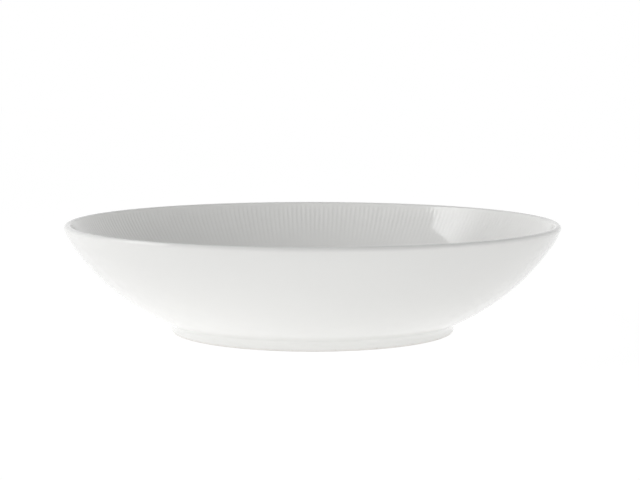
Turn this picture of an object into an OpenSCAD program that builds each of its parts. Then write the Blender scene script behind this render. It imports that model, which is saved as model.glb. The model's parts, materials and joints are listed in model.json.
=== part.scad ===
// Wide shallow porcelain bowl on a low turned foot.
// A fired clay body with fine radial relief on its inside wall, and a clear glaze over all
// of it but the face that it stands on. The bowl is round about +Z. The origin is the
// centre of the standing face, and all lengths are in millimetres.
// A lean is the angle between the wall's slope and the upright: 0 is a vertical wall and
// 90 a flat floor. A point at lean a on a circle lies where the surface has that lean.

/* [Overall] */
// Diameter over the glazed lip
rim_d = 250; // [225:5:285]
// Height of the lip's crest above the standing face
bowl_h = 55; // [48:1:68]
// Diameter over the glazed side of the foot
foot_d = 144; // [126:2:160]
// Height at which the wall springs from the side of the foot
foot_h = 4.4; // [4:0.2:6]

/* [Wall] */
// Thickness of the fired wall, with the glaze on both sides
wall_t = 3.6; // [3:0.1:4.6]
// Degrees by which the wall is steeper at the lip than the straight line from foot to lip
lip_turn = 26.5; // [20:0.5:30]
// Degrees by which the wall is steeper at the shoulder than that line
shoulder_turn = 12.5; // [8:0.5:16]
// Degrees by which the wall is flatter at the foot than that line
foot_turn = 20.5; // [18:0.5:24]

/* [Well] */
// Thickness of the floor, with the glaze on both sides
floor_t = 4.4; // [3.6:0.2:6]
// Radius of the curve that leads from the wall into the flat floor
well_r = 45; // [36:1:54]

/* [Foot] */
// Width of the foot ring, with the glaze on both sides
foot_w = 4.4; // [3.6:0.2:6]
// Depth of the hollow under the floor, inside the foot ring
recess_h = 3; // [2:0.2:3.4]
// Radius of the foot ring's two rounded lower edges
foot_round = 0.8; // [0.4:0.1:1.2]
// Radius of the glazed hollow corner between the foot's side and the wall
foot_fillet = 1.2; // [0.6:0.1:1.6]
// Radius of the glazed hollow corner round the edge of the recess
recess_fillet = 1; // [0.6:0.1:1.4]

/* [Glaze] */
// Thickness of the glaze
glaze_t = 0.3; // [0.2:0.05:0.5]
// Height above the standing face at which the glaze stops
glaze_line = 1.2; // [1.2:0.1:1.8]

/* [Relief ribs] */
// How many ribs stand round the inside wall
rib_count = 288; // [144:12:360]
// Height of a rib above the wall at the shoulder
rib_h = 0.35; // [0.2:0.05:0.6]
// Width of a rib
rib_w = 1.2; // [0.8:0.1:1.5]
// Plain band between the lip's crest and the upper ends of the ribs
rib_drop = 3; // [2:0.5:6]
// Length down the wall, from the shoulder, over which a rib dies away
rib_fade = 30; // [16:1:36]

/* [Hidden] */
$fn = 180;
// How far the straight steps of a curve may lie inside it
curve_error = 0.05;
GLAZE_COLOUR = [0.95, 0.95, 0.94];
CLAY_COLOUR = [0.90, 0.89, 0.86];
// Leans of the lip's crest, of a side that faces outwards, of a level floor and of one
// that faces inwards
CREST_LEAN = -90;
OUTWARD_LEAN = 0;
LEVEL_LEAN = 90;
INWARD_LEAN = -180;

// The point on the circle round c with radius r where the surface has this lean
function at(c, r, lean) = c + r * [cos(lean), -sin(lean)];
// The lean of the point that lies in this direction from a circle's centre
function lean_towards(v) = atan2(-v.y, v.x);
// How many steps keep a curve of radius r within its error between two leans
function steps(r, from, to) = ceil(abs(to - from) / acos(1 - curve_error / r) / 2);
// Points along the circle round c, from one lean up to but not at the other
function arc(c, r, from, to) =
    let (count = steps(r, from, to))
    [for (k = [0:count - 1]) at(c, r, from + (to - from) * k / count)];
// The same list from its end to its start
function backwards(points) = [for (k = [len(points) - 1:-1:0]) points[k]];

// Lip: a full round as thick as the wall
lip_r = wall_t / 2;
lip_c = [rim_d / 2 - lip_r, bowl_h - lip_r];

// Outside wall: two arcs that meet at the shoulder with one slope, from the lip to the foot
foot_edge = [foot_d / 2, foot_h];
rise = lip_c - foot_edge;
rise_lean = atan2(rise.x, rise.y);
lip_lean = rise_lean - lip_turn;
shoulder_lean = rise_lean - shoulder_turn;
foot_lean = rise_lean + foot_turn;
wall_top = at(lip_c, lip_r, lip_lean);
span = wall_top - foot_edge;
span_lean = atan2(span.x, span.y);
upper_mean = (lip_lean + shoulder_lean) / 2;
lower_mean = (shoulder_lean + foot_lean) / 2;
upper_chord = norm(span) * sin(lower_mean - span_lean) / sin(lower_mean - upper_mean);
lower_chord = norm(span) * sin(span_lean - upper_mean) / sin(lower_mean - upper_mean);
upper_r = upper_chord / sin((shoulder_lean - lip_lean) / 2) / 2;
lower_r = lower_chord / sin((foot_lean - shoulder_lean) / 2) / 2;
upper_c = at(wall_top, -upper_r, lip_lean);
lower_c = at(foot_edge, -lower_r, foot_lean);

// Inside wall: the same arcs one wall thickness in, then the curve into the floor
upper_in_r = upper_r - wall_t;
lower_in_r = lower_r - wall_t;
floor_z = recess_h + floor_t;
well_drop = lower_c.y - floor_z - well_r;
well_c = [lower_c.x + sqrt((lower_in_r - well_r) ^ 2 - well_drop ^ 2), floor_z + well_r];
well_lean = lean_towards(well_c - lower_c);

// Foot: its ring hangs below the clay body from one level plane
foot_r = foot_d / 2;
foot_in_r = foot_r - foot_w;
foot_top = recess_h + glaze_t;
fillet_x = foot_r + foot_fillet;
fillet_z = lower_c.y - sqrt((lower_r + foot_fillet) ^ 2 - (fillet_x - lower_c.x) ^ 2);
fillet_c = [fillet_x, fillet_z];
fillet_lean = lean_towards(fillet_c - lower_c);
recess_c = [foot_in_r - recess_fillet, recess_h - recess_fillet];

// Ribs: of one height above the shoulder, and dying away below it
rib_pitch = 360 / rib_count;
rib_top_lean = asin((upper_c.y - bowl_h + rib_drop) / upper_in_r);
rib_turn = rib_fade / lower_in_r * 180 / PI;
rib_end_lean = shoulder_lean + rib_turn;

// Half-section lines, this far inside the glazed surface. Each starts at the lip's crest or
// at the axis.
function inner_line(inset) = concat(
    arc(lip_c, lip_r - inset, CREST_LEAN, lip_lean + INWARD_LEAN),
    arc(upper_c, upper_in_r + inset, lip_lean, rib_top_lean),
    rib_line_upper(inset),
    rib_line_lower(inset),
    arc(lower_c, lower_in_r + inset, rib_end_lean, well_lean),
    arc(well_c, well_r + inset, well_lean, LEVEL_LEAN),
    [[well_c.x, floor_z - inset], [0, floor_z - inset]]
);

function rib_line_upper(inset) = arc(upper_c, upper_in_r + inset, rib_top_lean, shoulder_lean);

function rib_line_lower(inset) = arc(lower_c, lower_in_r + inset, shoulder_lean, rib_end_lean);

function outer_line(inset) = concat(
    arc(lip_c, lip_r - inset, CREST_LEAN, lip_lean),
    arc(upper_c, upper_r - inset, lip_lean, shoulder_lean),
    arc(lower_c, lower_r - inset, shoulder_lean, fillet_lean),
    arc(fillet_c, foot_fillet + inset, fillet_lean + INWARD_LEAN, INWARD_LEAN),
    [[foot_r - inset, fillet_z]]
);

function recess_line(inset) = concat(
    [[0, recess_h + inset]],
    arc(recess_c, recess_fillet + inset, CREST_LEAN, OUTWARD_LEAN),
    [[foot_in_r + inset, recess_c.y]]
);

// The ring's bare lower edge, from its outer side round to its inner side
function standing_line(inset) =
    let (outer_x = foot_r - inset - foot_round, inner_x = foot_in_r + inset + foot_round)
    concat(
        arc([outer_x, foot_round], foot_round, OUTWARD_LEAN, LEVEL_LEAN),
        [[outer_x, 0]],
        arc([inner_x, foot_round], foot_round, LEVEL_LEAN, -INWARD_LEAN),
        [[foot_in_r + inset, foot_round]]
    );

// Half section of all the clay, floor, wall and foot
module clay_section() {
    polygon(concat(
        backwards(inner_line(glaze_t)),
        outer_line(glaze_t),
        standing_line(glaze_t),
        backwards(recess_line(glaze_t))
    ));
}

// Half section of the level slab between two heights, out past the lip
module level_slab(low, high) {
    translate([0, low])
        square([rim_d / 2, high - low]);
}

// Meridian section of one rib: its back lies on the inside wall
module rib_section() {
    count = steps(lower_in_r, shoulder_lean, rib_end_lean);
    fading_face = [
        for (k = [0:count - 1])
            let (height = rib_h * cos(90 * k / count))
            at(lower_c, lower_in_r - height, shoulder_lean + rib_turn * k / count)
    ];
    polygon(concat(
        rib_line_upper(0),
        rib_line_lower(0),
        [at(lower_c, lower_in_r, rib_end_lean)],
        backwards(fading_face),
        backwards(rib_line_upper(-rib_h))
    ));
}

// Fired clay of the floor, the wall and the lip's core
module clay_body() {
    color(CLAY_COLOUR)
        rotate_extrude()
            intersection() {
                clay_section();
                level_slab(foot_top, bowl_h);
            }
}

// Ring under the clay body, with the bare ground face that the bowl stands on
module foot_ring() {
    color(CLAY_COLOUR)
        rotate_extrude()
            intersection() {
                clay_section();
                level_slab(0, foot_top);
            }
}

// Fine radial ribs, each a separate solid on the inside wall
module relief_ribs() {
    color(GLAZE_COLOUR)
        for (k = [0:rib_count - 1])
            rotate([90, 0, k * rib_pitch])
                translate([0, 0, -rib_w / 2])
                    linear_extrude(rib_w)
                        rib_section();
}

// Glaze on the floor, the inside wall and the inner half of the lip
module inner_glaze() {
    color(GLAZE_COLOUR)
        rotate_extrude()
            polygon(concat(inner_line(0), backwards(inner_line(glaze_t))));
}

// Glaze on the outer half of the lip, the outside wall and the side of the foot
module outer_glaze() {
    glaze_end = [[foot_r, glaze_line], [foot_r - glaze_t, glaze_line]];
    color(GLAZE_COLOUR)
        rotate_extrude()
            polygon(concat(outer_line(0), glaze_end, backwards(outer_line(glaze_t))));
}

// Glaze on the underside of the floor and down the inside of the foot
module base_glaze() {
    glaze_end = [[foot_in_r, glaze_line], [foot_in_r + glaze_t, glaze_line]];
    color(GLAZE_COLOUR)
        rotate_extrude()
            polygon(concat(recess_line(0), glaze_end, backwards(recess_line(glaze_t))));
}

clay_body();
foot_ring();
relief_ribs();
inner_glaze();
outer_glaze();
base_glaze();
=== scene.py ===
"""A wide shallow bowl of white porcelain on a low foot, in a plain white studio.

The fired clay stays as the frame gives it. The glaze coats, the fluted inside wall and the bare
foot are modelled here at full fineness, each as a closed skin spun from its own section line.
"""

import json
import logging
import math
from collections.abc import Callable
from dataclasses import dataclass, field
from enum import Enum

import bmesh
import bpy
from mathutils import Matrix, Vector

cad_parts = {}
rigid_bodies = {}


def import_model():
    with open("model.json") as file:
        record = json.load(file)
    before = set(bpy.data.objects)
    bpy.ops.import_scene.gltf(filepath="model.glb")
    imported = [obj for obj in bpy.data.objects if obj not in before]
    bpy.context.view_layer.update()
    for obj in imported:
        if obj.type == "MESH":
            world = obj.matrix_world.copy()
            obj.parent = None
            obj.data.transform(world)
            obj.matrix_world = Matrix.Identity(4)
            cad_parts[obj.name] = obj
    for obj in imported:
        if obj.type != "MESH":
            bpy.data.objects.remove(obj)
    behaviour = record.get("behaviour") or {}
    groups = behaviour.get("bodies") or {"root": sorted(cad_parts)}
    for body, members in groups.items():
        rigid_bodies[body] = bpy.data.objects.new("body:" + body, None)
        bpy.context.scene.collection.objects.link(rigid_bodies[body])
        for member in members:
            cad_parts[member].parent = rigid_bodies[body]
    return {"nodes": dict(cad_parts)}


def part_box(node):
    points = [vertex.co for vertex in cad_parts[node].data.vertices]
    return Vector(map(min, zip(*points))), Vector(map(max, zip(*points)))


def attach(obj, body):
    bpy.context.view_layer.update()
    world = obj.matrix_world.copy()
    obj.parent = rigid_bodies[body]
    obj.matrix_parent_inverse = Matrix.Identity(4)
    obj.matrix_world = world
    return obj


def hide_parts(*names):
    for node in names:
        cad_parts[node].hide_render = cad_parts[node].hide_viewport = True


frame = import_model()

LOG = logging.getLogger("porcelain_bowl")
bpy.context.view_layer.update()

MM = 0.001
FULL_TURN = 2 * math.pi
HALF_TURN = math.pi
QUARTER_TURN = math.pi / 2
ORIGIN = (0.0, 0.0, 0.0)
UPRIGHT_AXIS = (0.0, 0.0, 1.0)
SECTION_AXIS = (0.0, 1.0, 0.0)

# A spun piece starts as one sector, which is doubled this often to make the full turn
DOUBLINGS = 5
MERGE_GAP = 0.002 * MM
SHARP_ANGLE = math.radians(40)

# The crest of the lip, where two coats meet in fine steps that hide their seam
CREST_LEAN = -QUARTER_TURN
CREST_TURN = math.radians(6)
CREST_STEP = math.radians(1.5)

RIB_COUNT = 288
# The layer for the grooves' greyer colour, partly pooled glaze and partly painted shade
POOL_SHADE_LAYER = "glaze_pool_and_painted_shade"
LEVEL_LAYER = "level_glaze"
THIN_LAYER = "thin_glaze"

# The sRGB curve, which is straight below its knee and a power above it
SRGB_KNEE = 0.04045
SRGB_SLOPE = 12.92
SRGB_LIFT = 0.055
SRGB_POWER = 2.4
BYTE_MAX = 255
WHITE = (1.0, 1.0, 1.0, 1.0)


class Coat(Enum):
    """Where a glaze coat lies on the clay."""

    INSIDE = "inside"
    OUTSIDE = "outside"
    BASE = "base"


# Finishes


def linear(hex_colour: str) -> tuple[float, float, float, float]:
    """Turns an sRGB colour into the linear values that a shader wants.

    Args:
        hex_colour: Six hex digits after a hash sign.

    Returns:
        Linear red, green, blue and an alpha of one.
    """
    channels = (int(hex_colour[i : i + 2], 16) / BYTE_MAX for i in (1, 3, 5))
    values = [
        c / SRGB_SLOPE if c <= SRGB_KNEE else ((c + SRGB_LIFT) / (1 + SRGB_LIFT)) ** SRGB_POWER
        for c in channels
    ]
    return (*values, 1.0)


def add_node(
    tree: bpy.types.NodeTree,
    kind: str,
    settings: dict[str, object] | None = None,
    values: dict[str | int, object] | None = None,
    links: dict[str | int, bpy.types.NodeSocket] | None = None,
) -> bpy.types.Node:
    """Adds one node with its settings, socket values and incoming links.

    Args:
        tree: The tree that the node joins.
        kind: The node's type name.
        settings: Properties of the node itself.
        values: Fixed values, by input name or number.
        links: Sockets that feed the node, by input name or number.

    Returns:
        The new node.
    """
    node = tree.nodes.new(kind)
    for name, value in (settings or {}).items():
        setattr(node, name, value)
    for name, value in (values or {}).items():
        node.inputs[name].default_value = value
    for name, socket in (links or {}).items():
        tree.links.new(socket, node.inputs[name])
    return node


def empty_tree(owner: bpy.types.ID) -> bpy.types.NodeTree:
    """Gives a material, world or lamp an empty node tree.

    Args:
        owner: What the tree belongs to.

    Returns:
        The tree, with no nodes left in it.
    """
    owner.use_nodes = True
    owner.node_tree.nodes.clear()
    return owner.node_tree


@dataclass(frozen=True)
class GlossGlaze:
    """White porcelain under a clear feldspar glaze, glost fired.

    The clay gives the flat white. The glaze lies on it as a smooth clear coat, which gives a
    sharp mirror image with a slow ripple. Where it has pooled in the grooves between the ribs it
    is drawn a shade greyer, partly the glaze's own tint and partly painted shade. Its fine grain
    is drawn at 0.9 mm, about twice as coarse as in a real glaze, so that it can show.
    """

    name: str = "glost_fired_white_glaze"
    crest_colour: str = "#F5F5F3"
    # The grooves' grey: partly the pooled glaze's tint, partly painted shade between the ribs
    pool_shade_colour: str = "#F2F2F0"
    clay_roughness: float = 0.6
    roughness: float = 0.05
    ior: float = 1.52
    ripple_length: float = 14 * MM
    ripple_depth: float = 0.012 * MM
    ripple_detail: float = 1.0
    grain_length: float = 0.9 * MM
    grain_depth: float = 0.0012 * MM
    grain_detail: float = 2.0
    tone_length: float = 60 * MM
    tone_detail: float = 2.0
    tone_share: float = 0.5

    def material(self) -> bpy.types.Material:
        """Builds the glaze's node material.

        Returns:
            The new material.
        """
        made = bpy.data.materials.new(self.name)
        tree = empty_tree(made)
        place = add_node(tree, "ShaderNodeTexCoord").outputs["Object"]
        surface = add_node(
            tree,
            "ShaderNodeBsdfPrincipled",
            values={
                "Roughness": self.clay_roughness,
                "Specular IOR Level": 0.0,
                "Coat Weight": 1.0,
                "Coat Roughness": self.roughness,
                "Coat IOR": self.ior,
            },
            links={
                "Base Color": self._colour(tree, place),
                "Coat Normal": self._coat_normal(tree, place),
            },
        )
        add_node(tree, "ShaderNodeOutputMaterial", links={"Surface": surface.outputs[0]})
        return made

    def _colour(self, tree: bpy.types.NodeTree, place: bpy.types.NodeSocket) -> bpy.types.NodeSocket:
        """Gives the white, a shade greyer in slow clouds and in the grooves between the ribs, where the
        grey is partly pooled glaze and partly painted shade.

        Args:
            tree: The material's node tree.
            place: The point's place on the bowl.

        Returns:
            The socket that gives the colour.
        """
        tone = add_node(
            tree,
            "ShaderNodeTexNoise",
            values={"Scale": 1 / self.tone_length, "Detail": self.tone_detail},
            links={"Vector": place},
        )
        # The grooves' grey between the ribs is partly pooled glaze and partly painted shade
        pool_and_shade = add_node(tree, "ShaderNodeAttribute", {"attribute_name": POOL_SHADE_LAYER})
        shade = add_node(
            tree,
            "ShaderNodeMath",
            {"operation": "MULTIPLY_ADD"},
            values={1: self.tone_share},
            links={0: tone.outputs["Fac"], 2: pool_and_shade.outputs["Fac"]},
        )
        colour = add_node(
            tree,
            "ShaderNodeMix",
            {"data_type": "RGBA"},
            values={"A": linear(self.crest_colour), "B": linear(self.pool_shade_colour)},
            links={"Factor": shade.outputs[0]},
        )
        return colour.outputs["Result"]

    def _coat_normal(
        self, tree: bpy.types.NodeTree, place: bpy.types.NodeSocket
    ) -> bpy.types.NodeSocket:
        """Gives the glaze's top the slow ripple and fine grain that firing leaves.

        Args:
            tree: The material's node tree.
            place: The point's place on the bowl.

        Returns:
            The socket that gives the way that the coat faces.
        """
        ripple = add_node(
            tree,
            "ShaderNodeTexNoise",
            values={"Scale": 1 / self.ripple_length, "Detail": self.ripple_detail},
            links={"Vector": place},
        )
        grain = add_node(
            tree,
            "ShaderNodeTexNoise",
            values={"Scale": 1 / self.grain_length, "Detail": self.grain_detail},
            links={"Vector": place},
        )
        slow = add_node(
            tree,
            "ShaderNodeBump",
            values={"Strength": 1.0, "Distance": self.ripple_depth},
            links={"Height": ripple.outputs["Fac"], "Normal": self._top(tree)},
        )
        fine = add_node(
            tree,
            "ShaderNodeBump",
            values={"Strength": 1.0, "Distance": self.grain_depth},
            links={"Height": grain.outputs["Fac"], "Normal": slow.outputs["Normal"]},
        )
        return fine.outputs["Normal"]

    def _top(self, tree: bpy.types.NodeTree) -> bpy.types.NodeSocket:
        """Gives the way that the glaze's top faces, which is the clay's own way here."""
        return add_node(tree, "ShaderNodeNewGeometry").outputs["Normal"]


@dataclass(frozen=True)
class LevelGlaze(GlossGlaze):
    """The same glaze where it has run level over the clay's ribs.

    The ribs are shaded as ribs through it, but its mirror image stays whole, and only breaks into
    teeth near the lip, where the glaze is thin.
    """

    name: str = "glost_fired_glaze_level_over_ribs"

    def _top(self, tree: bpy.types.NodeTree) -> bpy.types.NodeSocket:
        """Gives the way that the level top faces, and more of the clay's way where it is thin.

        Args:
            tree: The material's node tree.

        Returns:
            The socket that gives that way.
        """
        level = add_node(tree, "ShaderNodeAttribute", {"attribute_name": LEVEL_LAYER})
        thin = add_node(tree, "ShaderNodeAttribute", {"attribute_name": THIN_LAYER})
        own = super()._top(tree)
        blend = add_node(
            tree,
            "ShaderNodeMix",
            {"data_type": "VECTOR"},
            links={"Factor": thin.outputs["Fac"], "A": level.outputs["Vector"], "B": own},
        )
        return blend.outputs["Result"]


@dataclass(frozen=True)
class GroundBiscuit:
    """Bare fired porcelain, ground flat on a wheel and rubbed smooth.

    It has no gloss, a duller white than the glaze, and a fine grain with a few darker specks.
    The grit's marks are drawn at 0.35 mm, coarser than real ones, so that they show close up.
    """

    name: str = "ground_bare_porcelain"
    body_colour: str = "#F2F0ED"
    speck_colour: str = "#E2DFD9"
    roughness: float = 0.72
    ior: float = 1.5
    grain_length: float = 0.35 * MM
    grain_depth: float = 0.02 * MM
    grain_detail: float = 4.0
    grain_strength: float = 0.6
    speck_length: float = 1.6 * MM
    speck_detail: float = 3.0
    speck_from: float = 0.62
    speck_to: float = 0.74

    def material(self) -> bpy.types.Material:
        """Builds the bare clay's node material.

        Returns:
            The new material.
        """
        made = bpy.data.materials.new(self.name)
        tree = empty_tree(made)
        place = add_node(tree, "ShaderNodeTexCoord").outputs["Object"]
        specks = add_node(
            tree,
            "ShaderNodeTexNoise",
            values={"Scale": 1 / self.speck_length, "Detail": self.speck_detail},
            links={"Vector": place},
        )
        sparse = add_node(
            tree,
            "ShaderNodeMapRange",
            values={"From Min": self.speck_from, "From Max": self.speck_to},
            links={"Value": specks.outputs["Fac"]},
        )
        colour = add_node(
            tree,
            "ShaderNodeMix",
            {"data_type": "RGBA"},
            values={"A": linear(self.body_colour), "B": linear(self.speck_colour)},
            links={"Factor": sparse.outputs["Result"]},
        )
        grain = add_node(
            tree,
            "ShaderNodeTexNoise",
            values={"Scale": 1 / self.grain_length, "Detail": self.grain_detail},
            links={"Vector": place},
        )
        rough = add_node(
            tree,
            "ShaderNodeBump",
            values={"Strength": self.grain_strength, "Distance": self.grain_depth},
            links={"Height": grain.outputs["Fac"]},
        )
        surface = add_node(
            tree,
            "ShaderNodeBsdfPrincipled",
            values={"Roughness": self.roughness, "IOR": self.ior},
            links={"Base Color": colour.outputs["Result"], "Normal": rough.outputs["Normal"]},
        )
        add_node(tree, "ShaderNodeOutputMaterial", links={"Surface": surface.outputs[0]})
        return made


# The bowl's form


@dataclass
class BowlForm:
    """The bowl's sizes in metres, and the circles that its section is made of.

    A name in _r is a circle's radius and one in _c its centre. A lean is the angle between the
    wall's slope and the upright: nothing for a vertical wall and a quarter turn for a level
    floor. Points lie in the XZ plane, with the axis at X = 0.
    """

    rim_r: float
    height: float
    foot_r: float
    wall: float = 3.6 * MM
    glaze: float = 0.3 * MM
    foot_h: float = 4.4 * MM
    lip_turn: float = math.radians(26.5)
    shoulder_turn: float = math.radians(12.5)
    foot_turn: float = math.radians(20.5)
    floor: float = 4.4 * MM
    well_r: float = 45 * MM
    foot_w: float = 4.4 * MM
    recess: float = 3 * MM
    foot_round: float = 0.8 * MM
    foot_fillet: float = 4.4 * MM
    recess_fillet: float = 1 * MM
    glaze_line: float = 1.2 * MM
    lip_r: float = field(init=False)
    lip_c: Vector = field(init=False)
    lip_lean: float = field(init=False)
    shoulder_lean: float = field(init=False)
    foot_lean: float = field(init=False)
    upper_r: float = field(init=False)
    upper_in_r: float = field(init=False)
    upper_c: Vector = field(init=False)
    lower_r: float = field(init=False)
    lower_in_r: float = field(init=False)
    lower_c: Vector = field(init=False)
    floor_z: float = field(init=False)
    well_c: Vector = field(init=False)
    well_lean: float = field(init=False)
    foot_in_r: float = field(init=False)
    foot_top: float = field(init=False)
    fillet_c: Vector = field(init=False)
    fillet_lean: float = field(init=False)
    recess_c: Vector = field(init=False)

    @classmethod
    def from_frame(cls) -> "BowlForm":
        """Takes the bowl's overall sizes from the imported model.

        Returns:
            The form whose rim, height and foot are the frame's own.
        """
        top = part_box("outer_glaze")[1]
        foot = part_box("foot_ring")[1]
        return cls(rim_r=top.x, height=top.z, foot_r=foot.x + cls.glaze)

    def __post_init__(self) -> None:
        """Works out the section's circles from the sizes."""
        self.lip_r = self.wall / 2
        self.lip_c = Vector((self.rim_r - self.lip_r, 0, self.height - self.lip_r))
        foot_edge = Vector((self.foot_r, 0, self.foot_h))
        rise = self.lip_c - foot_edge
        rise_lean = math.atan2(rise.x, rise.z)
        self.lip_lean = rise_lean - self.lip_turn
        self.shoulder_lean = rise_lean - self.shoulder_turn
        self.foot_lean = rise_lean + self.foot_turn
        wall_top = self.at(self.lip_c, self.lip_r, self.lip_lean)
        self.upper_r, self.lower_r = self._wall_radii(wall_top - foot_edge)
        self.upper_c = self.at(wall_top, -self.upper_r, self.lip_lean)
        self.lower_c = self.at(foot_edge, -self.lower_r, self.foot_lean)
        self._place_well()
        self._place_foot()

    def _wall_radii(self, span: Vector) -> tuple[float, float]:
        """Solves the two wall arcs that meet with one slope between the lip and the foot.

        Args:
            span: From the foot's edge to the top of the wall.

        Returns:
            The radii of the arc above the shoulder and of the arc below it.
        """
        span_lean = math.atan2(span.x, span.z)
        upper_mean = (self.lip_lean + self.shoulder_lean) / 2
        lower_mean = (self.shoulder_lean + self.foot_lean) / 2
        scale = span.length / math.sin(lower_mean - upper_mean)
        upper_chord = scale * math.sin(lower_mean - span_lean)
        lower_chord = scale * math.sin(span_lean - upper_mean)
        upper_half = (self.shoulder_lean - self.lip_lean) / 2
        lower_half = (self.foot_lean - self.shoulder_lean) / 2
        return upper_chord / math.sin(upper_half) / 2, lower_chord / math.sin(lower_half) / 2

    def _place_well(self) -> None:
        """Sets the curve that leads from the inside wall into the flat floor."""
        self.upper_in_r = self.upper_r - self.wall
        self.lower_in_r = self.lower_r - self.wall
        self.floor_z = self.recess + self.floor
        drop = self.lower_c.z - self.floor_z - self.well_r
        reach = math.sqrt((self.lower_in_r - self.well_r) ** 2 - drop**2)
        self.well_c = Vector((self.lower_c.x + reach, 0, self.floor_z + self.well_r))
        self.well_lean = self.lean_towards(self.well_c - self.lower_c)

    def _place_foot(self) -> None:
        """Sets the foot ring's inner side and the two glazed hollow corners."""
        self.foot_in_r = self.foot_r - self.foot_w
        self.foot_top = self.recess + self.glaze
        fillet_x = self.foot_r + self.foot_fillet
        reach = math.sqrt((self.lower_r + self.foot_fillet) ** 2 - (fillet_x - self.lower_c.x) ** 2)
        self.fillet_c = Vector((fillet_x, 0, self.lower_c.z - reach))
        self.fillet_lean = self.lean_towards(self.fillet_c - self.lower_c)
        recess_x = self.foot_in_r - self.recess_fillet
        self.recess_c = Vector((recess_x, 0, self.recess - self.recess_fillet))

    @staticmethod
    def at(centre: Vector, radius: float, lean: float) -> Vector:
        """Finds the point of a circle where the surface has this lean."""
        return centre + radius * Vector((math.cos(lean), 0, -math.sin(lean)))

    @staticmethod
    def lean_towards(way: Vector) -> float:
        """Gives the lean of the point that lies this way from a circle's centre."""
        return math.atan2(-way.z, way.x)


@dataclass
class SectionLine:
    """A section line, drawn by spinning its last point about one centre after another."""

    mesh: bmesh.types.BMesh
    tip: bmesh.types.BMVert

    @classmethod
    def start(cls, mesh: bmesh.types.BMesh, point: Vector) -> "SectionLine":
        """Starts a line at a point."""
        made = bmesh.ops.create_vert(mesh, co=point)
        return cls(mesh, made["vert"][0])

    def arc(self, centre: Vector, turn: float, step: float) -> None:
        """Carries the line on round a centre.

        Args:
            centre: The middle of the arc.
            turn: The angle to go, positive towards a flatter lean.
            step: The largest angle between two points.
        """
        made = bmesh.ops.spin(
            self.mesh,
            geom=[self.tip],
            cent=centre,
            axis=SECTION_AXIS,
            dvec=ORIGIN,
            angle=turn,
            steps=max(1, math.ceil(abs(turn) / step)),
            use_merge=False,
            use_normal_flip=False,
            use_duplicate=False,
        )
        self.tip = next(e for e in made["geom_last"] if isinstance(e, bmesh.types.BMVert))

    def line_to(self, point: Vector, lengths: int = 1) -> None:
        """Carries the line on straight to a point.

        Args:
            point: Where the line goes.
            lengths: How many equal lengths it takes.
        """
        first = self.tip.co.copy()
        for k in range(1, lengths + 1):
            self.tip = bmesh.ops.extrude_vert_indiv(self.mesh, verts=[self.tip])["verts"][0]
            self.tip.co = first.lerp(point, k / lengths)


def spin_piece(
    name: str,
    mesh: bmesh.types.BMesh,
    columns: int,
    finish: bpy.types.Material,
    shape: Callable[[bmesh.types.BMesh], None] | None = None,
) -> bpy.types.Object:
    """Spins a section line round the bowl's axis into a closed skin.

    One sector is spun and then doubled until it goes all the way round, which is much quicker
    than one full spin of so many columns.

    Args:
        name: The piece's name.
        mesh: The section line, which is used up.
        columns: How many faces each sector has side by side.
        finish: The piece's material.
        shape: A change to make to the points of the first sector.

    Returns:
        The new object, at the origin and in the scene.
    """
    sector = FULL_TURN / 2**DOUBLINGS
    bmesh.ops.remove_doubles(mesh, verts=mesh.verts[:], dist=MERGE_GAP)
    bmesh.ops.spin(
        mesh,
        geom=mesh.verts[:] + mesh.edges[:],
        cent=ORIGIN,
        axis=UPRIGHT_AXIS,
        dvec=ORIGIN,
        angle=sector,
        steps=columns,
        use_merge=False,
        use_normal_flip=False,
        use_duplicate=False,
    )
    if shape:
        shape(mesh)
    for k in range(DOUBLINGS):
        everything = mesh.verts[:] + mesh.edges[:] + mesh.faces[:]
        copied = bmesh.ops.duplicate(mesh, geom=everything)["geom"]
        turned = [part for part in copied if isinstance(part, bmesh.types.BMVert)]
        turn = Matrix.Rotation(sector * 2**k, 3, "Z")
        bmesh.ops.rotate(mesh, cent=ORIGIN, matrix=turn, verts=turned)
    bmesh.ops.remove_doubles(mesh, verts=mesh.verts[:], dist=MERGE_GAP)
    bmesh.ops.recalc_face_normals(mesh, faces=mesh.faces[:])
    data = bpy.data.meshes.new(name)
    mesh.to_mesh(data)
    mesh.free()
    data.shade_smooth()
    data.set_sharp_from_angle(angle=SHARP_ANGLE)
    data.materials.append(finish)
    piece = bpy.data.objects.new(name, data)
    bpy.context.collection.objects.link(piece)
    return piece


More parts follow.
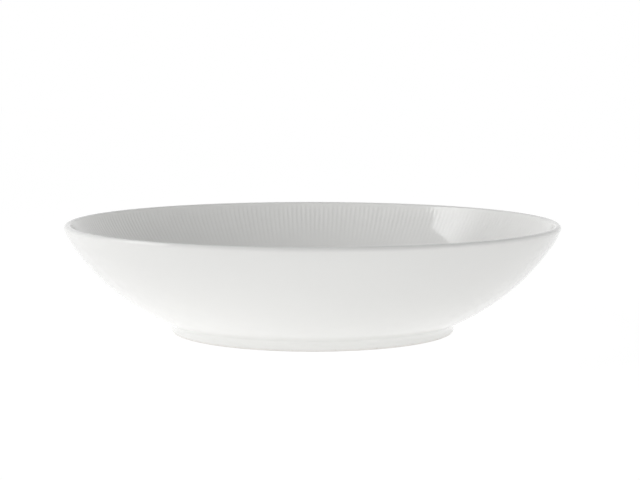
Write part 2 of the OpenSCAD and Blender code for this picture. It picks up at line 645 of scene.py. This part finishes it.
@dataclass
class GlazeCoats:
    """The glaze outside and under the foot, each coat a skin that closes on itself.

    Steps are the largest angles between two points of an arc, and lengths are how many faces a
    straight stretch has. The back of a coat lies on the clay and needs fewer.
    """

    form: BowlForm
    finish: bpy.types.Material
    columns: int = 12
    lip_step: float = math.radians(4)
    wall_step: float = math.radians(1.2)
    hollow_step: float = math.radians(8)
    recess_step: float = math.radians(12)
    bead_step: float = math.radians(30)
    back_step: float = math.radians(3)
    back_lip_step: float = math.radians(9)
    side_lengths: int = 2
    ceiling_lengths: int = 12
    back_lengths: int = 4

    def outside(self) -> bpy.types.Object:
        """Builds the coat from the lip's crest down the wall to the side of the foot.

        Returns:
            The coat, tied to the frame.
        """
        form = self.form
        mesh = bmesh.new()
        line = SectionLine.start(mesh, form.at(form.lip_c, form.lip_r, CREST_LEAN))
        line.arc(form.lip_c, CREST_TURN, CREST_STEP)
        line.arc(form.lip_c, form.lip_lean - CREST_LEAN - CREST_TURN, self.lip_step)
        line.arc(form.upper_c, form.shoulder_lean - form.lip_lean, self.wall_step)
        line.arc(form.lower_c, form.fillet_lean - form.shoulder_lean, self.wall_step)
        line.arc(form.fillet_c, -form.fillet_lean, self.hollow_step)
        line.line_to(Vector((form.foot_r, 0, form.glaze_line)), self.side_lengths)
        bead = Vector((form.foot_r - form.glaze / 2, 0, form.glaze_line))
        line.arc(bead, HALF_TURN, self.bead_step)
        line.line_to(Vector((form.foot_r - form.glaze, 0, form.fillet_c.z)))
        line.arc(form.fillet_c, form.fillet_lean, self.bead_step)
        line.arc(form.lower_c, form.shoulder_lean - form.fillet_lean, self.back_step)
        line.arc(form.upper_c, form.lip_lean - form.shoulder_lean, self.back_step)
        line.arc(form.lip_c, CREST_LEAN - form.lip_lean, self.back_lip_step)
        line.line_to(form.at(form.lip_c, form.lip_r, CREST_LEAN))
        return self._finished(Coat.OUTSIDE, mesh, "outer_glaze")

    def base(self) -> bpy.types.Object:
        """Builds the coat under the floor and down the inside of the foot.

        Returns:
            The coat, tied to the frame.
        """
        form = self.form
        mesh = bmesh.new()
        line = SectionLine.start(mesh, Vector((0, 0, form.recess)))
        line.line_to(Vector((form.recess_c.x, 0, form.recess)), self.ceiling_lengths)
        line.arc(form.recess_c, QUARTER_TURN, self.recess_step)
        line.line_to(Vector((form.foot_in_r, 0, form.glaze_line)))
        bead = Vector((form.foot_in_r + form.glaze / 2, 0, form.glaze_line))
        line.arc(bead, -HALF_TURN, self.bead_step)
        line.line_to(Vector((form.foot_in_r + form.glaze, 0, form.recess_c.z)))
        line.arc(form.recess_c, -QUARTER_TURN, self.bead_step)
        line.line_to(Vector((0, 0, form.foot_top)), self.back_lengths)
        return self._finished(Coat.BASE, mesh, "base_glaze")

    def _finished(self, coat: Coat, mesh: bmesh.types.BMesh, *nodes: str) -> bpy.types.Object:
        """Spins a coat, and says which nodes it stands for.

        Args:
            coat: Which coat it is.
            mesh: The coat's section line, which is used up.
            *nodes: The frame's nodes that the coat takes the place of.

        Returns:
            The coat, tied to the frame.
        """
        piece = spin_piece(f"glaze_{coat.value}", mesh, self.columns, self.finish)
        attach(piece, "root")
        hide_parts(*nodes)
        LOG.info("%s: %d faces", piece.name, len(piece.data.polygons))
        return piece


@dataclass
class FlutedInside:
    """The inside glaze, over fine radial ribs that start below the lip and die away down the wall.

    The mesh has the ribs. Two layers on it say which way the glaze's level top faces, and where
    the glaze is thin and its top follows the ribs. Lengths down the wall are measured from the
    ribs' upper ends, which lie as far below the crest of the lip as the drop says.
    """

    form: BowlForm
    finish: bpy.types.Material
    columns_a_rib: int = 4
    relief: float = 0.27 * MM
    drop: float = 1.3 * MM
    swell: float = 1.2 * MM
    thin_share: float = 0.22
    level_from: float = 6 * MM
    full: float = 5.5 * MM
    end: float = 29.5 * MM
    play_share: float = 0.25
    lip_step: float = math.radians(5)
    rib_step: float = math.radians(1.2)
    wall_step: float = math.radians(2)
    well_step: float = math.radians(4)
    back_step: float = math.radians(6)
    back_lip_step: float = math.radians(24)
    floor_lengths: int = 2
    top_lean: float = field(init=False)
    end_lean: float = field(init=False)
    upper_length: float = field(init=False)

    def __post_init__(self) -> None:
        """Works out where on the wall the ribs start and end."""
        form = self.form
        self.top_lean = math.asin((form.upper_c.z - form.height + self.drop) / form.upper_in_r)
        self.upper_length = (form.shoulder_lean - self.top_lean) * form.upper_in_r
        self.end_lean = form.shoulder_lean + (self.end - self.upper_length) / form.lower_in_r

    def build(self) -> bpy.types.Object:
        """Builds the coat from the lip's crest over the ribs and into the well.

        Returns:
            The coat with its ribs, tied to the frame.
        """
        form = self.form
        swell_turn = self.swell / form.upper_in_r
        mesh = bmesh.new()
        line = SectionLine.start(mesh, form.at(form.lip_c, form.lip_r, CREST_LEAN))
        line.arc(form.lip_c, -CREST_TURN, CREST_STEP)
        line.arc(form.lip_c, form.lip_lean - HALF_TURN - CREST_LEAN + CREST_TURN, self.lip_step)
        line.arc(form.upper_c, self.top_lean - form.lip_lean, self.wall_step)
        line.arc(form.upper_c, swell_turn, self.wall_step)
        line.arc(form.upper_c, form.shoulder_lean - self.top_lean - swell_turn, self.wall_step)
        line.arc(form.lower_c, self.end_lean - form.shoulder_lean, self.rib_step)
        line.arc(form.lower_c, form.well_lean - self.end_lean, self.wall_step)
        line.arc(form.well_c, QUARTER_TURN - form.well_lean, self.well_step)
        line.line_to(Vector((0, 0, form.floor_z)), self.floor_lengths)
        line.line_to(Vector((0, 0, form.floor_z - form.glaze)))
        line.line_to(Vector((form.well_c.x, 0, form.floor_z - form.glaze)))
        line.arc(form.well_c, form.well_lean - QUARTER_TURN, self.back_step)
        line.arc(form.lower_c, form.shoulder_lean - form.well_lean, self.back_step)
        line.arc(form.upper_c, form.lip_lean - form.shoulder_lean, self.back_step)
        line.arc(form.lip_c, CREST_LEAN + HALF_TURN - form.lip_lean, self.back_lip_step)
        line.line_to(form.at(form.lip_c, form.lip_r, CREST_LEAN))
        name = f"glaze_{Coat.INSIDE.value}_fluted"
        columns = RIB_COUNT * self.columns_a_rib // 2**DOUBLINGS
        piece = spin_piece(name, mesh, columns, self.finish, self._raise_ribs)
        self._level_top(piece.data)
        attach(piece, "root")
        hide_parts("inner_glaze", "relief_ribs")
        LOG.info("%s: %d faces", piece.name, len(piece.data.polygons))
        return piece

    def _raise_ribs(self, mesh: bmesh.types.BMesh) -> None:
        """Lifts the wall's points into ribs, and marks where the glaze is thin and the grooves between
        the ribs, which are drawn greyer as partly pooled glaze and partly painted shade.

        Args:
            mesh: One sector of the coat.
        """
        pool_and_shade = mesh.verts.layers.float.new(POOL_SHADE_LAYER)
        thin = mesh.verts.layers.float.new(THIN_LAYER)
        for vert in mesh.verts:
            radius = math.hypot(vert.co.x, vert.co.y)
            point = Vector((radius, 0, vert.co.z))
            place = self._place_on_wall(point)
            if place is None:
                continue
            below, centre = place
            strength = self._strength(below)
            crest = (1 + math.cos(RIB_COUNT * math.atan2(vert.co.y, vert.co.x))) / 2
            inward = (centre - point).normalized() * self.relief * strength * crest
            narrower = (point.x + inward.x) / radius
            vert.co = (vert.co.x * narrower, vert.co.y * narrower, vert.co.z + inward.z)
            # The grooves between the ribs are marked for a greyer colour: pooled glaze, and partly
            # painted shade
            vert[pool_and_shade] = strength * (1 - crest)
            vert[thin] = self.thin_share * max(0.0, 1 - below / self.level_from)

    def _level_top(self, data: bpy.types.Mesh) -> None:
        """Stores the way that the glaze's top faces where it lies level over the ribs.

        Args:
            data: The finished coat's mesh.
        """
        layer = data.attributes.new(LEVEL_LAYER, "FLOAT_VECTOR", "POINT")
        for vert, entry in zip(data.vertices, layer.data):
            radius = math.hypot(vert.co.x, vert.co.y)
            point = Vector((radius, 0, vert.co.z))
            place = self._place_on_wall(point)
            if place is None:
                entry.vector = vert.normal
                continue
            _, centre = place
            way = (centre - point).normalized()
            entry.vector = (way.x * vert.co.x / radius, way.x * vert.co.y / radius, way.z)

    def _strength(self, below: float) -> float:
        """Says how strongly the ribs stand at a place on the wall.

        Args:
            below: How far it lies below the ribs' upper ends.

        Returns:
            From nothing to one, where they stand at their full relief.
        """
        if below < self.swell:
            return below / self.swell
        return 1 - max(0.0, min(1.0, (below - self.full) / (self.end - self.full)))

    def _place_on_wall(self, point: Vector) -> tuple[float, Vector] | None:
        """Finds a point of the section on the ribbed stretch of the inside wall.

        Args:
            point: A point of the coat's section.

        Returns:
            How far it lies below the ribs' upper ends, and the centre that the ribs rise
            towards, or nothing for a point that lies elsewhere.
        """
        form = self.form
        play = form.glaze * self.play_share
        for centre, radius in ((form.upper_c, form.upper_in_r), (form.lower_c, form.lower_in_r)):
            away = point - centre
            lean = form.lean_towards(away)
            upper = centre is form.upper_c
            on_arc = lean <= form.shoulder_lean if upper else lean > form.shoulder_lean
            if not -self.relief - play < away.length - radius < play or not on_arc:
                continue
            if not self.top_lean <= lean <= self.end_lean:
                return None
            if upper:
                return (lean - self.top_lean) * radius, centre
            return self.upper_length + (lean - form.shoulder_lean) * radius, centre
        return None


@dataclass
class BareFoot:
    """The foot ring, with its ground standing face and rounded edges."""

    form: BowlForm
    finish: bpy.types.Material
    columns: int = 12
    round_step: float = math.radians(15)
    face_lengths: int = 2

    def build(self) -> bpy.types.Object:
        """Builds the ring from its inner top corner round to its outer one.

        Returns:
            The ring, tied to the frame.
        """
        form = self.form
        inner = form.foot_in_r + form.glaze
        outer = form.foot_r - form.glaze
        mesh = bmesh.new()
        line = SectionLine.start(mesh, Vector((form.recess_c.x, 0, form.foot_top)))
        line.arc(form.recess_c, QUARTER_TURN, self.round_step)
        line.line_to(Vector((inner, 0, form.foot_round)))
        line.arc(Vector((inner + form.foot_round, 0, form.foot_round)), -QUARTER_TURN, self.round_step)
        line.line_to(Vector((outer - form.foot_round, 0, 0)), self.face_lengths)
        line.arc(Vector((outer - form.foot_round, 0, form.foot_round)), -QUARTER_TURN, self.round_step)
        line.line_to(Vector((outer, 0, form.foot_top)))
        line.line_to(Vector((form.recess_c.x, 0, form.foot_top)))
        piece = spin_piece("bare_foot_ring", mesh, self.columns, self.finish)
        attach(piece, "root")
        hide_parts("foot_ring")
        LOG.info("%s: %d faces", piece.name, len(piece.data.polygons))
        return piece


# The studio


@dataclass
class Studio:
    """Camera, table, lamp and world of a plain white studio.

    A wall of light stands low all round the bowl and one soft box hangs high on the left. The
    table glows a little, a painted glow that stands in for the light it throws back up, with a
    painted shadow under the bowl. Nothing hangs right over the bowl. The soft box's turn is in
    degrees about X, Y and Z.
    """

    camera_away: float = 875 * MM
    camera_side: float = 3.6 * MM
    camera_up: float = 135.5 * MM
    pitch: float = math.radians(5.87)
    roll: float = math.radians(-0.081)
    focal_px: float = 1731.0
    frame_px: float = 640.0
    sensor_mm: float = 36.0
    nearest_seen: float = 0.01
    farthest_seen: float = 50.0
    table_r: float = 4.0
    table_sides: int = 96
    table_colour: str = "#F4F4F4"
    table_white: float = 0.95
    table_hidden: float = 0.85
    # The table's painted glow onto the bowl, and the painted shadow that dims it beneath the bowl
    painted_table_glow: float = 0.29
    painted_shadow_depth: float = 0.35
    painted_shadow_from: float = 72 * MM
    painted_shadow_to: float = 80 * MM
    wall_ends: float = 1.22
    wall_sides: float = 0.98
    wall_tilt: float = 0.1
    wall_full: float = 0.40
    wall_top: float = 0.75
    box_place: tuple[float, float, float] = (-0.702, 0.129, 0.662)
    box_size: tuple[float, float] = (0.70, 0.885)
    box_turn: tuple[float, float, float] = (-107.4, 31.9, 60.9)
    box_watts: float = 5.9
    box_fade: float = 0.39

    def camera(self) -> None:
        """Stands the camera where the photograph was taken from."""
        data = bpy.data.cameras.new("camera")
        data.sensor_width = self.sensor_mm
        data.lens = self.focal_px * self.sensor_mm / self.frame_px
        data.clip_start = self.nearest_seen
        data.clip_end = self.farthest_seen
        eye = bpy.data.objects.new("camera", data)
        eye.location = (self.camera_side, -self.camera_away, self.camera_up)
        eye.rotation_euler = (QUARTER_TURN - self.pitch, self.roll, 0)
        bpy.context.collection.objects.link(eye)
        bpy.context.scene.camera = eye

    def table(self) -> None:
        """Lays a wide white table top, which looks white but for the bowl's faint shadow."""
        mesh = bmesh.new()
        bmesh.ops.create_circle(mesh, cap_ends=True, radius=self.table_r, segments=self.table_sides)
        data = bpy.data.meshes.new("table_top")
        mesh.to_mesh(data)
        mesh.free()
        top = bpy.data.objects.new("table_top", data)
        bpy.context.collection.objects.link(top)
        data.materials.append(self._table_paper())

    @staticmethod
    def _seen_ray(tree: bpy.types.NodeTree) -> bpy.types.NodeSocket:
        """Tells the rays that look at the studio from those that light the bowl.

        Args:
            tree: The node tree that the test joins.

        Returns:
            One for camera, glossy and transmission rays, and nothing for the rest.
        """
        rays = add_node(tree, "ShaderNodeLightPath").outputs
        largest = {"operation": "MAXIMUM"}
        direct = add_node(
            tree, "ShaderNodeMath", largest, links={0: rays["Is Camera Ray"], 1: rays["Is Glossy Ray"]}
        )
        either = add_node(
            tree, "ShaderNodeMath", largest, links={0: direct.outputs[0], 1: rays["Is Transmission Ray"]}
        )
        return either.outputs[0]

    def _table_paper(self) -> bpy.types.Material:
        """Builds the table's white: a dimmed lit part for the shadow, plain white over it where it is
        seen, and a painted glow that lights the bowl from below, dimmed beneath the bowl as a painted
        shadow.

        Returns:
            The new material.
        """
        made = bpy.data.materials.new("white_table_paper_with_painted_glow")
        tree = empty_tree(made)
        seen = self._seen_ray(tree)
        hidden = add_node(
            tree,
            "ShaderNodeMath",
            {"operation": "MULTIPLY"},
            values={1: self.table_hidden},
            links={0: seen},
        )
        paper = add_node(tree, "ShaderNodeBsdfDiffuse", values={"Color": linear(self.table_colour)})
        lit = add_node(
            tree, "ShaderNodeMixShader", links={0: hidden.outputs[0], 1: paper.outputs[0]}
        )
        # Seen rays get plain white; the other rays get the painted glow that lights the bowl from below
        level = add_node(
            tree,
            "ShaderNodeMix",
            {"data_type": "FLOAT"},
            values={"B": self.table_white},
            links={"Factor": seen, "A": self._painted_glow(tree)},
        )
        glow = add_node(
            tree,
            "ShaderNodeEmission",
            values={"Color": WHITE},
            links={"Strength": level.outputs["Result"]},
        )
        both = add_node(tree, "ShaderNodeAddShader", links={0: lit.outputs[0], 1: glow.outputs[0]})
        add_node(tree, "ShaderNodeOutputMaterial", links={"Surface": both.outputs[0]})
        return made

    def _painted_glow(self, tree: bpy.types.NodeTree) -> bpy.types.NodeSocket:
        """Gives the table's painted glow, which stands in for the light it throws back up, with a
        painted shadow that dims it beneath the bowl.

        Args:
            tree: The table's node tree.

        Returns:
            The socket that gives its strength.
        """
        place = add_node(tree, "ShaderNodeTexCoord").outputs["Object"]
        away = add_node(tree, "ShaderNodeVectorMath", {"operation": "LENGTH"}, links={0: place})
        # Painted shadow: the painted glow is dimmer beneath the bowl and close round its foot
        level = add_node(
            tree,
            "ShaderNodeMapRange",
            values={
                "From Min": self.painted_shadow_from,
                "From Max": self.painted_shadow_to,
                "To Min": self.painted_table_glow * (1 - self.painted_shadow_depth),
                "To Max": self.painted_table_glow,
            },
            links={"Value": away.outputs["Value"]},
        )
        return level.outputs["Result"]

    def world(self) -> None:
        """Stands a wall of light round the table, and shows it as plain white."""
        sky = bpy.data.worlds.new("studio")
        bpy.context.scene.world = sky
        tree = empty_tree(sky)
        strength = add_node(
            tree,
            "ShaderNodeMix",
            {"data_type": "FLOAT"},
            values={"B": 1.0},
            links={"Factor": self._seen_ray(tree), "A": self._wall_of_light(tree)},
        )
        glow = add_node(
            tree,
            "ShaderNodeBackground",
            values={"Color": WHITE},
            links={"Strength": strength.outputs["Result"]},
        )
        add_node(tree, "ShaderNodeOutputWorld", links={"Surface": glow.outputs[0]})

    def _wall_of_light(self, tree: bpy.types.NodeTree) -> bpy.types.NodeSocket:
        """Gives the wall's light, which fades upwards and is brighter in front, behind and left.

        Args:
            tree: The world's node tree.

        Returns:
            The socket that gives its strength in each direction.
        """
        way = add_node(tree, "ShaderNodeTexCoord").outputs["Generated"]
        split = add_node(tree, "ShaderNodeSeparateXYZ", links={"Vector": way}).outputs
        multiply = {"operation": "MULTIPLY"}
        along = add_node(tree, "ShaderNodeMath", multiply, links={0: split["Y"], 1: split["Y"]})
        round_about = add_node(
            tree,
            "ShaderNodeMapRange",
            values={"To Min": self.wall_sides, "To Max": self.wall_ends},
            links={"Value": along.outputs[0]},
        )
        wall = add_node(
            tree,
            "ShaderNodeMapRange",
            values={"From Min": self.wall_full, "From Max": self.wall_top, "To Max": 0.0},
            links={"Value": split["Z"], "To Min": round_about.outputs["Result"]},
        )
        tilt = add_node(
            tree,
            "ShaderNodeMath",
            {"operation": "MULTIPLY_ADD"},
            values={1: -self.wall_tilt, 2: 1.0},
            links={0: split["X"]},
        )
        tilted = add_node(
            tree, "ShaderNodeMath", multiply, links={0: wall.outputs["Result"], 1: tilt.outputs[0]}
        )
        return tilted.outputs[0]

    def soft_box(self) -> None:
        """Hangs the soft box whose image lies on the right side of the inside wall."""
        data = bpy.data.lights.new("soft_box", "AREA")
        data.shape = "RECTANGLE"
        data.size, data.size_y = self.box_size
        data.energy = self.box_watts
        self._fade_box(empty_tree(data))
        lamp = bpy.data.objects.new("soft_box", data)
        lamp.location = self.box_place
        lamp.rotation_euler = [math.radians(angle) for angle in self.box_turn]
        bpy.context.collection.objects.link(lamp)

    def _fade_box(self, tree: bpy.types.NodeTree) -> None:
        """Makes the soft box evenly bright over its near part, and fades it towards its far side.

        Args:
            tree: The lamp's node tree.
        """
        spot = add_node(tree, "ShaderNodeNewGeometry").outputs["Parametric"]
        split = add_node(tree, "ShaderNodeSeparateXYZ", links={"Vector": spot}).outputs
        level = add_node(
            tree,
            "ShaderNodeMapRange",
            {"interpolation_type": "SMOOTHSTEP"},
            values={"From Min": self.box_fade, "From Max": 1.0, "To Min": 1.0, "To Max": 0.0},
            links={"Value": split["X"]},
        )
        glow = add_node(tree, "ShaderNodeEmission", links={"Strength": level.outputs["Result"]})
        add_node(tree, "ShaderNodeOutputLight", links={"Surface": glow.outputs[0]})


def dress_clay(finish: bpy.types.Material) -> None:
    """Gives the frame's clay body the bare clay's material.

    Args:
        finish: The bare clay's material.
    """
    body = frame["nodes"]["clay_body"]
    body.data.materials.clear()
    body.data.materials.append(finish)
    LOG.info("clay_body: dressed with %s", finish.name)


def main() -> None:
    """Builds the bowl and its studio in order."""
    logging.basicConfig(level=logging.INFO, format="%(name)s %(message)s")
    form = BowlForm.from_frame()
    glaze = GlossGlaze().material()
    level_glaze = LevelGlaze().material()
    biscuit = GroundBiscuit().material()
    dress_clay(biscuit)
    coats = GlazeCoats(form, glaze)
    coats.outside()
    coats.base()
    FlutedInside(form, level_glaze).build()
    BareFoot(form, biscuit).build()
    studio = Studio()
    studio.camera()
    studio.table()
    studio.world()
    studio.soft_box()
    bpy.context.scene.view_settings.view_transform = "Standard"


if __name__ == "__main__":
    main()
